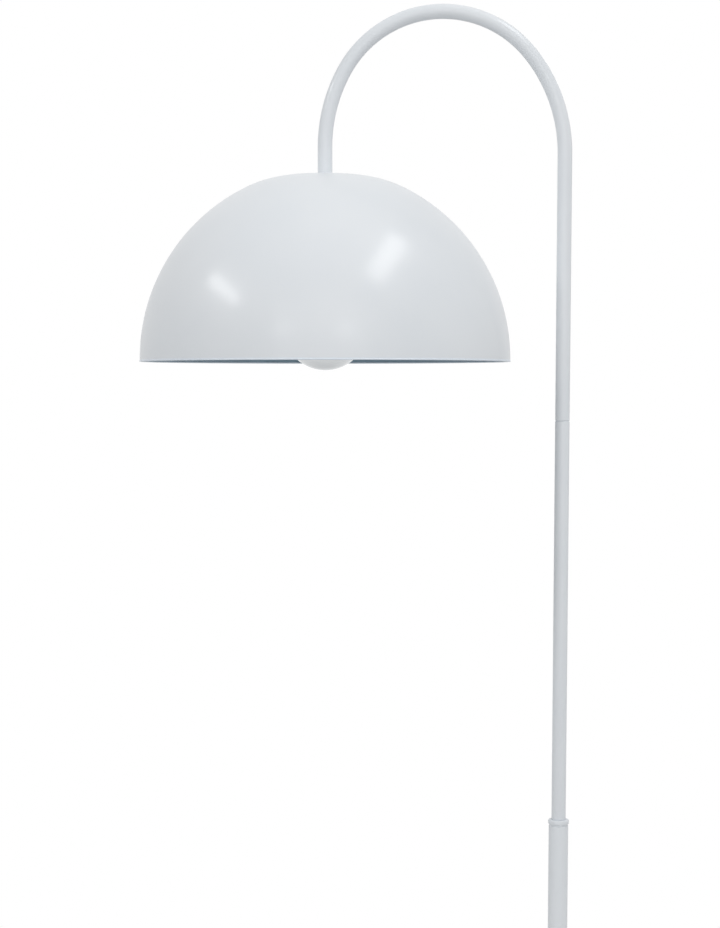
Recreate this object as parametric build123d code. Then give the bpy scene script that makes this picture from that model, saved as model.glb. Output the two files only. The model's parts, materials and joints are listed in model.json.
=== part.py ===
from build123d import *
import math
import os

# White arched floor lamp: a weighted round base, a screwed tube pole, an arch and a half-dome shade.
# Millimetres. The pole stands on the Z axis, the floor is z = 0 and the shade hangs towards -X.

# Gaps between pieces
fit_gap = 0.1  # each side of a pressed or screwed piece
run_gap = 0.3  # between pieces that turn or slide
pass_gap = 0.4  # each side of a stud in a plain hole
cut_over = 1.0  # how far a cut runs past the face that it opens

# Base
base_radius = 130.0
base_height = 26.0
cover_sheet = 1.2
cover_edge_radius = 8.0
cover_lift = 1.0
pad_thickness = 3.0
weight_gap = 1.0
weight_edge_radius = 9.0
weight_rim_width = 18.0
weight_web = 10.0
weight_corner_radius = 4.0
nut_recess_radius = 17.0
nut_recess_depth = 5.0

# Cord inlet in the base
cord_bore_radius = 3.6
inlet_height = 9.5
grommet_neck_radius = 5.0
grommet_flange_radius = 7.0
grommet_flange = 2.2
grommet_inner_flange_radius = 6.2
grommet_inner_flange = 1.4
grommet_edge_radius = 0.8

# Studs, nuts and washers
stud_radius = 5.0
stud_bore_radius = 3.25
stud_grip = 16.0
stud_end = 0.5
plug_length = 18.0
base_nut_flats = 17.0
base_nut_height = 5.0
base_washer_radius = 15.0
base_washer_height = 1.5
shade_nut_flats = 14.0
shade_nut_height = 4.5
shade_washer_radius = 20.0
shade_washer_height = 1.5

# Pole and arch
lower_tube_radius = 11.0
lower_tube_wall = 1.2
lower_tube_length = 589.5
bush_flange_radius = 11.6
bush_flange_height = 5.0
bush_top_rounding = 1.6
bush_foot_rounding = 0.7
bush_groove_radius = 10.2
bush_groove_height = 1.7
upper_tube_radius = 8.0
upper_tube_wall = 1.0
tube_edge = 0.6
middle_tube_length = 446.8
arch_pole_leg = 290.3
arch_shade_leg = 31.45
arch_span = 261.5
arch_crown_radius = 122.6
arch_flank_radius = 169.2
arch_crown_shift = 2.5

# Shade
shade_radius = 203.0
shade_height = 201.3
shade_sheet = 0.8
shade_skirt = 2.0
shade_crown_flat = 31.5
shade_crown_blend = 124.5
shade_hem_radius = 0.9

# Screw lampholder with a turn switch
holder_spacer_length = 19.2
holder_radius = 20.0
holder_wall = 2.0
holder_waist = 1.2
holder_lip_height = 4.0
holder_ledge = 1.0
holder_depth = 27.0
holder_cap_height = 26.0
holder_cap_straight = 6.0
holder_cap_shoulder = 20.0
holder_cap_rounding = 6.0
holder_neck_radius = 8.0
holder_neck_depth = 12.0
block_height = 16.0
shell_wall = 0.5
shell_length = 22.0
shell_hole_radius = 6.4
tongue_width = 6.0
tongue_sheet = 0.5
tongue_drop = 4.0
tongue_root = 5.2
tongue_seat = 2.7
tongue_tip = 3.2
tongue_lift = 1.2
knob_radius = 6.5
knob_length = 12.0
knob_standoff = 1.0
knob_shaft_radius = 2.5
knob_shaft_depth = 9.0
knob_end_rounding = 1.5
knob_flute_radius = 1.2
knob_flutes = 10

# Globe bulb with a 27 mm screw cap
bulb_radius = 47.5
bulb_length = 138.0
bulb_wall = 1.0
bulb_neck_radius = 15.0
bulb_neck_blend = 22.0
bulb_collar_radius = 12.2
bulb_collar_height = 8.0
bulb_cap_radius = 13.0
bulb_cap_wall = 0.5
bulb_cap_length = 26.0
bulb_cap_cone = 2.0
bulb_cap_top_radius = 8.5
bulb_insulator_height = 2.0
bulb_insulator_top_radius = 5.0
bulb_contact_radius = 4.2
bulb_contact_height = 1.5
bulb_contact_rounding = 0.6
stem_flare_sheet = 1.0
stem_flare_gap = 0.8
stem_taper_length = 18.0
stem_post_radius = 3.0
stem_reach = 15.0
mount_rod_radius = 0.7
mount_arm_radius = 0.5
filament_count = 4
filament_circle = 10.0
filament_radius = 1.1
filament_length = 38.0
filament_end = 2.0

# Wiring inside the pole
lead_core_radius = 1.35
lead_core_offset = 1.25
lead_bend_radius = 7.0
lead_insertion = 6.0
connector_length = 26.0
connector_width = 14.0
connector_height = 10.0
connector_start = 40.0
connector_rounding = 1.0
connector_inlet_depth = 9.0
connector_screw_radius = 1.5
connector_screw_head_radius = 2.75
connector_screw_head_height = 2.0
connector_screw_grip = 6.0

# Heights of the stack above the floor
cover_under = base_height - cover_sheet
weight_radius = base_radius - cover_sheet - weight_gap
web_under = cover_under - weight_web
nut_seat = web_under + nut_recess_depth
base_nut_bottom = nut_seat - base_washer_height - base_nut_height
base_stud_bottom = base_nut_bottom - stud_end
lead_height = base_stud_bottom - lead_bend_radius
lower_tube_top = base_height + lower_tube_length
bush_flange_foot = lower_tube_top + bush_groove_height
middle_tube_foot = bush_flange_foot + bush_flange_height
seam_height = middle_tube_foot + middle_tube_length
arch_spring = seam_height + arch_pole_leg

# Bends of the arch, whose crown leans towards the shade
flank_reach = arch_flank_radius - arch_crown_radius
flank_inset = arch_flank_radius - arch_span / 2
pole_flank_angle = math.degrees(math.acos((flank_inset - arch_crown_shift) / flank_reach))
shade_flank_angle = math.degrees(math.acos((flank_inset + arch_crown_shift) / flank_reach))
crown_angle = 180 - pole_flank_angle - shade_flank_angle
flank_rise = math.sin(math.radians(pole_flank_angle)) - math.sin(math.radians(shade_flank_angle))
shade_spring = arch_spring + flank_reach * flank_rise
shade_top = shade_spring - arch_shade_leg
rim_height = shade_top - shade_height

# Heights of the lampholder and the bulb under the shade
shade_nut_bottom = shade_top - shade_sheet - shade_washer_height - shade_nut_height
holder_cap_top = shade_nut_bottom - holder_spacer_length
block_top = holder_cap_top - holder_cap_height
block_bottom = block_top - block_height
knob_height = (block_bottom + block_top) / 2
bulb_tip = block_bottom - tongue_drop - run_gap
holder_mouth = bulb_tip - holder_depth
bulb_bottom = bulb_tip - bulb_length
bulb_centre = bulb_bottom + bulb_radius
bulb_cap_rim = bulb_tip - bulb_cap_length
bulb_insulator_top = bulb_tip - bulb_contact_height
bulb_cap_top = bulb_insulator_top - bulb_insulator_height
stem_end = bulb_centre + stem_reach
filament_top = stem_end - filament_end

# Radii that follow from their neighbours
cover_hole_radius = stud_radius + pass_gap
thread_radius = stud_radius + fit_gap
lower_tube_bore = lower_tube_radius - lower_tube_wall
upper_tube_bore = upper_tube_radius - upper_tube_wall
holder_bore = holder_radius - holder_wall
block_radius = holder_bore - fit_gap
shell_bore = bulb_cap_radius + run_gap
shaft_hole_radius = knob_shaft_radius + run_gap


def turned(corners):
    """Solid of revolution about the Z axis from (radius, height) corners."""
    return revolve(Plane.XZ * make_face(Polyline(*corners, close=True)), Axis.Z)


def ring(outer, inner, low, high):
    """Plain ring about the Z axis."""
    return turned([(inner, low), (outer, low), (outer, high), (inner, high)])


def drum(radius, low, high):
    """Plain cylinder about the Z axis."""
    return turned([(0, low), (radius, low), (radius, high), (0, high)])


def crossbar(radius, start, end, height):
    """Cylinder along X at a height above the floor."""
    return Pos(start, 0, height) * Rot(0, 90, 0) * Cylinder(
        radius, end - start, align=(Align.CENTER, Align.CENTER, Align.MIN)
    )


def rounded_section(radius, low, high, rounding):
    """Half section of a flat drum whose upper edge is rounded."""
    section = Pos(radius / 2, (low + high) / 2) * Rectangle(radius, high - low)
    corner = section.vertices().group_by(Axis.Y)[-1].sort_by(Axis.X)[-1]
    return fillet(corner, rounding)


def spun(section):
    """Solid of revolution about the Z axis from a half section."""
    return revolve(Plane.XZ * section, Axis.Z)


def tube(outer, bore, low, high):
    """Straight tube with broken outer edges."""
    return turned(
        [
            (bore, low),
            (outer - tube_edge, low),
            (outer, low + tube_edge),
            (outer, high - tube_edge),
            (outer - tube_edge, high),
            (bore, high),
        ]
    )


def hex_nut(flats, low, high):
    """Hexagon nut with chamfered corners on a stud along Z."""
    corner = flats / 2 / math.cos(math.radians(30))
    slope = (corner - flats / 2) * math.tan(math.radians(30))
    blank = Pos(0, 0, low) * extrude(RegularPolygon(flats / 2, 6, major_radius=False), high - low)
    envelope = turned(
        [
            (thread_radius, low),
            (flats / 2, low),
            (corner, low + slope),
            (corner, high - slope),
            (flats / 2, high),
            (thread_radius, high),
        ]
    )
    return blank & envelope


def stud(low, high):
    """Hollow threaded stud, drawn at the thread's outer radius."""
    return ring(stud_radius, stud_bore_radius, low, high)


def tube_plug(bore, low, high):
    """Tapped plug pressed into a tube's end."""
    return ring(bore - fit_gap, thread_radius, low, high)


def at_shade(piece):
    """Moves a piece from the pole's axis to the shade's axis."""
    return Pos(-arch_span, 0, 0) * piece


def base_cover():
    cup = rounded_section(base_radius, cover_lift, base_height, cover_edge_radius)
    hollow = rounded_section(
        base_radius - cover_sheet, 0, cover_under, cover_edge_radius - cover_sheet
    )
    shell = spun(cup - hollow) - drum(cover_hole_radius, 0, base_height + cut_over)
    inlet = crossbar(
        grommet_neck_radius + fit_gap, base_radius - weight_rim_width, 2 * base_radius, inlet_height
    )
    return shell - inlet


def base_weight():
    blank = rounded_section(weight_radius, pad_thickness, cover_under, weight_edge_radius)
    cavity = rounded_section(
        weight_radius - weight_rim_width, 0, web_under, weight_corner_radius
    )
    casting = spun(blank - cavity)
    casting -= drum(nut_recess_radius, 0, nut_seat)
    casting -= drum(cover_hole_radius, 0, base_height)
    notch_half = grommet_inner_flange_radius + pass_gap
    notch = Pos(weight_radius - weight_rim_width / 2, 0, 0) * Box(
        2 * weight_rim_width, 2 * notch_half, 2 * (inlet_height + notch_half)
    )
    casting -= notch
    screw_hole = Pos(connector_start + connector_length / 2, 0, 0) * drum(
        connector_screw_radius + fit_gap, 0, web_under + connector_screw_grip + fit_gap
    )
    return casting - screw_hole


def base_pad():
    return drum(weight_radius, 0, pad_thickness)


def cord_grommet():
    """Rubber bush in the cover's wall, turned about the cord's own axis."""
    neck_length = cover_sheet + run_gap
    inner_end = -neck_length - grommet_inner_flange
    section = Polyline(
        (cord_bore_radius, inner_end),
        (grommet_inner_flange_radius, inner_end),
        (grommet_inner_flange_radius, -neck_length),
        (grommet_neck_radius, -neck_length),
        (grommet_neck_radius, 0),
        (grommet_flange_radius, 0),
        (grommet_flange_radius, grommet_flange),
        (cord_bore_radius, grommet_flange),
        close=True,
    )
    face = make_face(section)
    outer_edge = face.vertices().group_by(Axis.Y)[-1].sort_by(Axis.X)[-1]
    bush = spun(fillet(outer_edge, grommet_edge_radius))
    return Pos(base_radius, 0, inlet_height) * Rot(0, 90, 0) * bush


def reducer_bush():
    """Collar with a rounded flange over a groove, and a spigot inside the lower tube."""
    spigot_radius = lower_tube_bore - fit_gap
    section = make_face(
        Polyline(
            (thread_radius, lower_tube_top - plug_length),
            (spigot_radius, lower_tube_top - plug_length),
            (spigot_radius, lower_tube_top),
            (bush_groove_radius, lower_tube_top),
            (bush_groove_radius, bush_flange_foot),
            (bush_flange_radius, bush_flange_foot),
            (bush_flange_radius, middle_tube_foot),
            (thread_radius, middle_tube_foot),
            close=True,
        )
    )
    rim = section.vertices().group_by(Axis.X)[-1].sort_by(Axis.Y)
    section = fillet(rim[-1], bush_top_rounding)
    foot = section.vertices().group_by(Axis.X)[-1].sort_by(Axis.Y)[0]
    return spun(fillet(foot, bush_foot_rounding))


def arch_run(start):
    """Centre line over the arch, from a point on the pole's axis to the foot of the shade leg."""
    rise = Line(start, (0, arch_spring))
    pole_flank = JernArc(rise @ 1, rise % 1, arch_flank_radius, pole_flank_angle)
    crown = JernArc(pole_flank @ 1, pole_flank % 1, arch_crown_radius, crown_angle)
    shade_flank = JernArc(crown @ 1, crown % 1, arch_flank_radius, shade_flank_angle)
    return [rise, pole_flank, crown, shade_flank]


def arch_tube():
    run = arch_run((0, seam_height))
    run.append(Line(run[-1] @ 1, (-arch_span, shade_top)))
    path = Plane.XZ * Curve(run)
    section = Pos(0, 0, seam_height) * (Circle(upper_tube_radius) - Circle(upper_tube_bore))
    bent = sweep(section, path)
    foot = bent.faces().sort_by(Axis.Z)[0]
    return chamfer(foot.outer_wire().edges(), tube_edge)


def inner_lead():
    """Flat two-core lead from the connector in the base, up the pole, to the lampholder's switch."""
    start = (connector_start + lead_insertion, lead_height)
    floor_run = Line(start, (lead_bend_radius, lead_height))
    turn = JernArc(floor_run @ 1, floor_run % 1, lead_bend_radius, -90)
    run = [floor_run, turn] + arch_run(turn @ 1)
    run.append(Line(run[-1] @ 1, (-arch_span, block_top - lead_insertion)))
    path = Plane.XZ * Curve(run)
    cores = Pos(lead_core_offset, 0) * Circle(lead_core_radius)
    cores += Pos(-lead_core_offset, 0) * Circle(lead_core_radius)
    section_plane = Plane(origin=(start[0], 0, start[1]), x_dir=(0, 1, 0), z_dir=(-1, 0, 0))
    return sweep(section_plane * cores, path)


def lead_slot(depth):
    """Slot for the flat lead, with its mouth at the origin and its depth towards -Z."""
    half_width = lead_core_offset + lead_core_radius + run_gap
    height = 2 * (lead_core_radius + run_gap)
    slot = SlotOverall(2 * half_width, height)
    return extrude(slot, -depth)


def lead_connector():
    """Moulded two-pole connector under the ballast's web."""
    low = web_under - connector_height
    middle = connector_start + connector_length / 2
    body = Pos(middle, 0, low + connector_height / 2) * Box(
        connector_length, connector_width, connector_height
    )
    body = fillet(body.edges().filter_by(Axis.Z), connector_rounding)
    lead_mouth = Plane(
        origin=(connector_start, 0, lead_height), x_dir=(0, 1, 0), z_dir=(-1, 0, 0)
    )
    body -= lead_mouth * lead_slot(lead_insertion + run_gap)
    end = connector_start + connector_length
    body -= crossbar(cord_bore_radius, end - connector_inlet_depth, end + cut_over, lead_height)
    screw = drum(connector_screw_radius + fit_gap, 0, web_under + cut_over)
    screw += drum(connector_screw_head_radius + fit_gap, 0, low + connector_screw_head_height)
    return body - Pos(middle, 0, 0) * screw


def connector_screw():
    head_bottom = web_under - connector_height
    head_top = head_bottom + connector_screw_head_height
    screw = turned(
        [
            (0, head_bottom),
            (connector_screw_head_radius, head_bottom),
            (connector_screw_head_radius, head_top),
            (connector_screw_radius, head_top),
            (connector_screw_radius, web_under + connector_screw_grip),
            (0, web_under + connector_screw_grip),
        ]
    )
    return Pos(connector_start + connector_length / 2, 0, 0) * screw


def dome_section(inset):
    """Half section of the dome, drawn in from its outside by the inset.

    The side is one arc, upright at the skirt, that meets the crown's blend at a tangent.
    """
    foot = rim_height + shade_hem_radius
    centre = rim_height + shade_skirt
    rise = shade_height - shade_skirt - shade_crown_blend
    reach = shade_radius - shade_crown_flat
    side_radius = (reach**2 + rise**2 - shade_crown_blend**2) / (2 * (reach - shade_crown_blend))
    side_angle = math.degrees(math.atan2(rise, side_radius - reach))
    radius = shade_radius - inset
    top = shade_top - inset
    wall = Line((radius, foot), (radius, centre))
    side = CenterArc((shade_radius - side_radius, centre), side_radius - inset, 0, side_angle)
    blend = CenterArc(
        (shade_crown_flat, shade_top - shade_crown_blend),
        shade_crown_blend - inset,
        side_angle,
        90 - side_angle,
    )
    crown = Line((shade_crown_flat, top), (0, top))
    middle = Line((0, top), (0, foot))
    floor = Line((0, foot), (radius, foot))
    return make_face(Curve([wall, side, blend, crown, middle, floor]))


def shade():
    """Spun half-dome with a flat crown and a rolled hem."""
    sheet = dome_section(0) - dome_section(shade_sheet)
    hem = Pos(shade_radius - shade_sheet / 2, rim_height + shade_hem_radius) * Circle(shade_hem_radius)
    dome = spun(sheet + hem)
    return at_shade(dome - drum(stud_radius + pass_gap, rim_height, shade_top + cut_over))


def holder_cap():
    """Upper half of the lampholder, with the neck that screws on the nipple."""
    outside = Polyline(
        (0, block_top),
        (holder_radius, block_top),
        (holder_radius, block_top + holder_cap_straight),
        (holder_neck_radius, block_top + holder_cap_shoulder),
        (holder_neck_radius, holder_cap_top),
        (0, holder_cap_top),
        close=True,
    )
    inside = Polyline(
        (0, block_top),
        (holder_bore, block_top),
        (holder_bore, block_top + holder_cap_straight - holder_wall / 2),
        (holder_neck_radius - holder_wall / 2, holder_cap_top - holder_neck_depth),
        (0, holder_cap_top - holder_neck_depth),
        close=True,
    )
    outer = make_face(outside)
    shoulder = outer.vertices().group_by(Axis.X)[-1].sort_by(Axis.Y)[-1]
    outer = fillet(shoulder, holder_cap_rounding)
    inner = make_face(inside)
    inner_shoulder = inner.vertices().group_by(Axis.X)[-1].sort_by(Axis.Y)[-1]
    inner = fillet(inner_shoulder, holder_cap_rounding - holder_wall)
    return at_shade(spun(outer - inner) - drum(thread_radius, block_top, holder_cap_top + cut_over))


def holder_body():
    """Lower half of the lampholder: an open cup with a lip, and a ledge under the switch block."""
    waist = holder_radius - holder_waist
    lip_top = holder_mouth + holder_lip_height
    sleeve = turned(
        [
            (holder_bore - holder_ledge, holder_mouth),
            (holder_radius, holder_mouth),
            (holder_radius, lip_top),
            (waist, lip_top + holder_waist),
            (waist, block_bottom - holder_waist),
            (holder_radius, block_bottom),
            (holder_radius, block_top),
            (holder_bore, block_top),
            (holder_bore, block_bottom),
            (holder_bore - holder_ledge, block_bottom),
        ]
    )
    return at_shade(sleeve - crossbar(shaft_hole_radius, 0, 2 * holder_radius, knob_height))


def switch_block():
    """Insulating block that carries the switch, the contacts and the screw shell."""
    block = drum(block_radius, block_bottom, block_top)
    block -= crossbar(
        shaft_hole_radius, block_radius - knob_shaft_depth - run_gap, 2 * holder_radius, knob_height
    )
    block -= Pos(0, 0, block_top) * Rot(0, 0, 90) * lead_slot(lead_insertion + run_gap)
    return at_shade(block)


def screw_shell():
    """Thin brass shell that takes the bulb's cap, drawn without its rolled thread."""
    outside = shell_bore + shell_wall
    shell_foot = block_bottom - shell_length
    shell = turned(
        [
            (shell_bore, shell_foot),
            (outside, shell_foot),
            (outside, block_bottom),
            (shell_hole_radius, block_bottom),
            (shell_hole_radius, block_bottom - shell_wall),
            (shell_bore, block_bottom - shell_wall),
        ]
    )
    return at_shade(shell)


def centre_contact():
    """Spring tongue that presses on the tip of the bulb."""
    seat = block_bottom - tongue_sheet / 2
    touch = bulb_tip + run_gap + tongue_sheet / 2
    line = Polyline(
        (-tongue_root, seat),
        (-tongue_root + tongue_seat, seat),
        (0, touch),
        (tongue_tip, touch + tongue_lift),
    )
    strip = extrude(Plane.XZ * trace(line, tongue_sheet), tongue_width / 2, both=True)
    return at_shade(strip)


def switch_knob():
    """Fluted turn knob on a shaft that reaches into the switch block."""
    shaft_start = block_radius - knob_shaft_depth
    face_start = holder_radius + knob_standoff
    knob_end = face_start + knob_length
    section = make_face(
        Polyline(
            (0, shaft_start),
            (knob_shaft_radius, shaft_start),
            (knob_shaft_radius, face_start),
            (knob_radius, face_start),
            (knob_radius, knob_end),
            (0, knob_end),
            close=True,
        )
    )
    rim = section.vertices().group_by(Axis.Y)[-1].sort_by(Axis.X)[-1]
    knob = spun(fillet(rim, knob_end_rounding))
    flute = Pos(knob_radius, 0, 0) * drum(knob_flute_radius, face_start, knob_end)
    knob -= PolarLocations(0, knob_flutes) * flute
    return at_shade(Pos(0, 0, knob_height) * Rot(0, 90, 0) * knob)


def globe_section(inset, top):
    """Half section of the globe and its neck, drawn in from the outside by the inset."""
    radius = bulb_radius - inset
    blend = bulb_neck_blend + inset
    neck = bulb_neck_radius - inset
    offset = neck + blend
    rise = math.sqrt((radius + blend) ** 2 - offset**2)
    angle = math.degrees(math.atan2(rise, offset))
    ball = CenterArc((0, bulb_centre), radius, -90, 90 + angle)
    hollow = CenterArc((offset, bulb_centre + rise), blend, 180 + angle, -angle)
    side = Line(hollow @ 1, (neck, top))
    lid = Line((neck, top), (0, top))
    middle = Line((0, top), ball @ 0)
    return make_face(Curve([ball, hollow, side, lid, middle]))


def bulb_glass():
    """Blown globe with a neck and the collar that is cemented into the cap."""
    shell = globe_section(0, bulb_cap_rim) - globe_section(bulb_wall, bulb_cap_rim - bulb_wall)
    collar_bore = bulb_collar_radius - bulb_wall
    glass = spun(shell) + ring(
        bulb_collar_radius, collar_bore, bulb_cap_rim - bulb_wall, bulb_cap_rim + bulb_collar_height
    )
    return at_shade(glass - drum(collar_bore, bulb_centre + bulb_radius, bulb_tip))


def bulb_cap():
    """Screw cap of the bulb, drawn at the thread's outer radius."""
    bore = bulb_cap_radius - bulb_cap_wall
    cone_foot = bulb_cap_top - bulb_cap_cone
    cap = turned(
        [
            (bore, bulb_cap_rim),
            (bulb_cap_radius, bulb_cap_rim),
            (bulb_cap_radius, cone_foot),
            (bulb_cap_top_radius, bulb_cap_top),
            (bulb_cap_top_radius - bulb_cap_wall, bulb_cap_top),
            (bore, cone_foot - bulb_cap_wall),
        ]
    )
    return at_shade(cap)


def bulb_insulator():
    cone = turned(
        [
            (0, bulb_cap_top),
            (bulb_cap_top_radius, bulb_cap_top),
            (bulb_insulator_top_radius, bulb_insulator_top),
            (0, bulb_insulator_top),
        ]
    )
    return at_shade(cone)


def bulb_contact():
    section = rounded_section(
        bulb_contact_radius, bulb_insulator_top + run_gap, bulb_tip, bulb_contact_rounding
    )
    return at_shade(spun(section))


def bulb_stem():
    """Glass stem that closes the neck and carries the filaments."""
    flare_seat = bulb_cap_rim + bulb_collar_height
    flare = bulb_collar_radius - bulb_wall - stem_flare_gap
    taper_end = flare_seat - stem_taper_length
    stem = turned(
        [
            (0, stem_end),
            (stem_post_radius, stem_end),
            (stem_post_radius, taper_end),
            (flare, flare_seat),
            (bulb_collar_radius, flare_seat),
            (bulb_collar_radius, flare_seat + stem_flare_sheet),
            (0, flare_seat + stem_flare_sheet),
        ]
    )
    return at_shade(stem)


def bulb_wires():
    """Rod under the stem with an arm to each end of every filament."""
    low = filament_top - filament_length + 2 * filament_end
    reach = filament_circle - filament_radius - fit_gap
    wires = drum(mount_rod_radius, low - mount_arm_radius, stem_end)
    for height in (low, filament_top - filament_end):
        arm = crossbar(mount_arm_radius, 0, reach, height)
        wires += PolarLocations(0, filament_count) * arm
    return at_shade(wires)


def bulb_filaments():
    rod = Pos(filament_circle, 0, 0) * drum(
        filament_radius, filament_top - filament_length + filament_end, filament_top
    )
    return at_shade(Compound(PolarLocations(0, filament_count) * rod))


nodes = {
    "base_pad": base_pad(),
    "base_weight": base_weight(),
    "base_cover": base_cover(),
    "cord_grommet": cord_grommet(),
    "lead_connector": lead_connector(),
    "connector_screw": connector_screw(),
    "base_washer": ring(
        base_washer_radius, cover_hole_radius, nut_seat - base_washer_height, nut_seat
    ),
    "base_nut": hex_nut(base_nut_flats, base_nut_bottom, base_nut_bottom + base_nut_height),
    "base_stud": stud(base_stud_bottom, base_height + stud_grip),
    "lower_plug": tube_plug(lower_tube_bore, base_height, base_height + plug_length),
    "lower_tube": tube(lower_tube_radius, lower_tube_bore, base_height, lower_tube_top),
    "reducer_bush": reducer_bush(),
    "reducer_stud": stud(middle_tube_foot - stud_grip, middle_tube_foot + stud_grip),
    "middle_foot_plug": tube_plug(
        upper_tube_bore, middle_tube_foot, middle_tube_foot + plug_length
    ),
    "middle_tube": tube(upper_tube_radius, upper_tube_bore, middle_tube_foot, seam_height),
    "middle_top_plug": tube_plug(upper_tube_bore, seam_height - plug_length, seam_height),
    "seam_stud": stud(seam_height - stud_grip, seam_height + stud_grip),
    "arch_foot_plug": tube_plug(upper_tube_bore, seam_height, seam_height + plug_length),
    "arch_tube": arch_tube(),
    "arch_end_plug": at_shade(tube_plug(upper_tube_bore, shade_top, shade_top + plug_length)),
    "shade_nipple": at_shade(stud(holder_cap_top - holder_neck_depth, shade_top + stud_grip)),
    "shade": shade(),
    "shade_washer": at_shade(
        ring(
            shade_washer_radius,
            stud_radius + pass_gap,
            shade_nut_bottom + shade_nut_height,
            shade_top - shade_sheet,
        )
    ),
    "shade_nut": at_shade(
        hex_nut(shade_nut_flats, shade_nut_bottom, shade_nut_bottom + shade_nut_height)
    ),
    "holder_spacer": at_shade(
        ring(upper_tube_bore, thread_radius, holder_cap_top, shade_nut_bottom)
    ),
    "holder_cap": holder_cap(),
    "holder_body": holder_body(),
    "switch_block": switch_block(),
    "screw_shell": screw_shell(),
    "centre_contact": centre_contact(),
    "switch_knob": switch_knob(),
    "inner_lead": inner_lead(),
    "bulb_glass": bulb_glass(),
    "bulb_cap": bulb_cap(),
    "bulb_insulator": bulb_insulator(),
    "bulb_contact": bulb_contact(),
    "bulb_stem": bulb_stem(),
    "bulb_wires": bulb_wires(),
    "bulb_filaments": bulb_filaments(),
}

os.makedirs("parts", exist_ok=True)
for node, solid in nodes.items():
    export_step(solid, f"parts/{node}.step")
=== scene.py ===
import json
import math

import bpy
from bpy.props import FloatProperty, FloatVectorProperty, IntProperty, PointerProperty
from mathutils import Matrix, Vector

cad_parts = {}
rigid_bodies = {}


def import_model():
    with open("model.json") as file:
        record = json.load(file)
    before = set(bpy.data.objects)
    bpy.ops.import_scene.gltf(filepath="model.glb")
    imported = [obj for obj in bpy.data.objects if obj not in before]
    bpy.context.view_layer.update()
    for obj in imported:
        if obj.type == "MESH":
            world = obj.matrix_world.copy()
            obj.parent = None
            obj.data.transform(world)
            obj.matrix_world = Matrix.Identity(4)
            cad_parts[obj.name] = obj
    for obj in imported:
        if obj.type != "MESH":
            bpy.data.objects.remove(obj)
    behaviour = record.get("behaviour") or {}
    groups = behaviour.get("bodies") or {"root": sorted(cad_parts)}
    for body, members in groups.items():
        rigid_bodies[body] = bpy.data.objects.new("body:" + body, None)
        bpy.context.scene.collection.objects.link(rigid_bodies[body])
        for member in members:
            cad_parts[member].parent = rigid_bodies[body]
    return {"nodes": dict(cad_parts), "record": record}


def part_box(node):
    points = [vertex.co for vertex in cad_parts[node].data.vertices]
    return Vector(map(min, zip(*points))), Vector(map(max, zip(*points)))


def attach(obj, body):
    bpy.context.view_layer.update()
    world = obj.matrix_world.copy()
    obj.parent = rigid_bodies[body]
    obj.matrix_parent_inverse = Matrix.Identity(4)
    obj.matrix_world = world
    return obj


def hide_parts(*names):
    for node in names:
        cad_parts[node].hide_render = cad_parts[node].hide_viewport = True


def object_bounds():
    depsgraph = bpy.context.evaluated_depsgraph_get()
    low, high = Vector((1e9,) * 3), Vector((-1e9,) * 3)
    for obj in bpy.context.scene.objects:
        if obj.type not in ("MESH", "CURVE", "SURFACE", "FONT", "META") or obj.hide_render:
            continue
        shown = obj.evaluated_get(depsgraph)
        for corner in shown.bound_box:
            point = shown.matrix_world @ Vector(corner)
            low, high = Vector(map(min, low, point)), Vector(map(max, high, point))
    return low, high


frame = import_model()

bl_info = {
    "name": "Arched floor lamp",
    "version": (1, 0, 0),
    "blender": (4, 5, 0),
    "location": "View3D > Sidebar > Lamp",
    "description": "Models and finishes a white arched floor lamp around its packed frame",
    "category": "Mesh",
}

# Places and names that come from the frame
CAD_LOW, CAD_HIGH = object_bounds()
SHADE_LOW, SHADE_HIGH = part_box("shade")
POLE_AXIS = Vector((0.0, 0.0, 0.0))
SHADE_AXIS = Vector(((SHADE_LOW.x + SHADE_HIGH.x) / 2, 0.0, 0.0))
SLOT_OF = {part["node"]: part["material_slot"] for part in frame["record"]["subparts"]}
BODY_OF = {
    node: body
    for body, nodes in frame["record"]["behaviour"]["bodies"].items()
    for node in nodes
}

# Drawing habits: sizes in metres, and the number of steps round a turn or along an arc
SEED_SIZE = 0.001
MERGE_DISTANCE = 1e-6
SMOOTH_ANGLE = math.radians(32)
LARGE_TURN = 160
GLOBE_TURN = 128
SMALL_TURN = 72
TIP_TURN = 48
STUD_TURN = 40
FILAMENT_TURN = 24
FLANK_STEPS = 44
HEM_STEPS = 24
CROWN_STEPS = 14
ROUND_STEPS = 6
POLE_BEND_STEPS = 20
CROWN_BEND_STEPS = 48
SHADE_BEND_STEPS = 16
GLOBE_STEPS = 44
NECK_STEPS = 16
STEM_STEPS = 10
POST_STEPS = 8
TIP_STEPS = 8
STUD_ROWS_A_TURN = 5
SHELL_ROWS = 56
CAP_ROWS = 64

# Depth of a metric thread as a share of its pitch
METRIC_DEPTH = 0.61

# Soft ends of the painted cool highlight along the shade's rim and of the painted shade at the
# globe's tip, in metres, and the strength of the globe's painted glow
RIM_HIGHLIGHT_FADE = 0.001
OPAL_FADE_BELOW = 0.001
OPAL_FADE_ABOVE = 0.012
OPAL_PAINTED_GLOW = 0.17

# Studio: the camera's drop below the rim and the floor's gap under the pad, in metres
CAMERA_DROP = 0.022
FLOOR_GAP = 0.0002

# Shares of the floor's radius between which it fades to white
FLOOR_FADE_START = 0.2
FLOOR_FADE_END = 0.95

# How far the room's bright upper half leans to the right, and how softly it meets the lower half
ROOM_LEAN = 0.12
ROOM_BLEND = 0.35

# Power of a square metre of softbox at brightness 1
WATTS_A_SQUARE_METRE = 4.0
WHITE = (1.0, 1.0, 1.0, 1.0)


def radius_of(node):
    """Radius of a round upright node."""
    low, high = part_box(node)
    return (high.y - low.y) / 2


def heights_of(node):
    """Lowest and highest point of a node."""
    low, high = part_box(node)
    return low.z, high.z


def length(name, description, value):
    """Length property, in metres."""
    return FloatProperty(name=name, description=description, default=value, unit="LENGTH")


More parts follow.
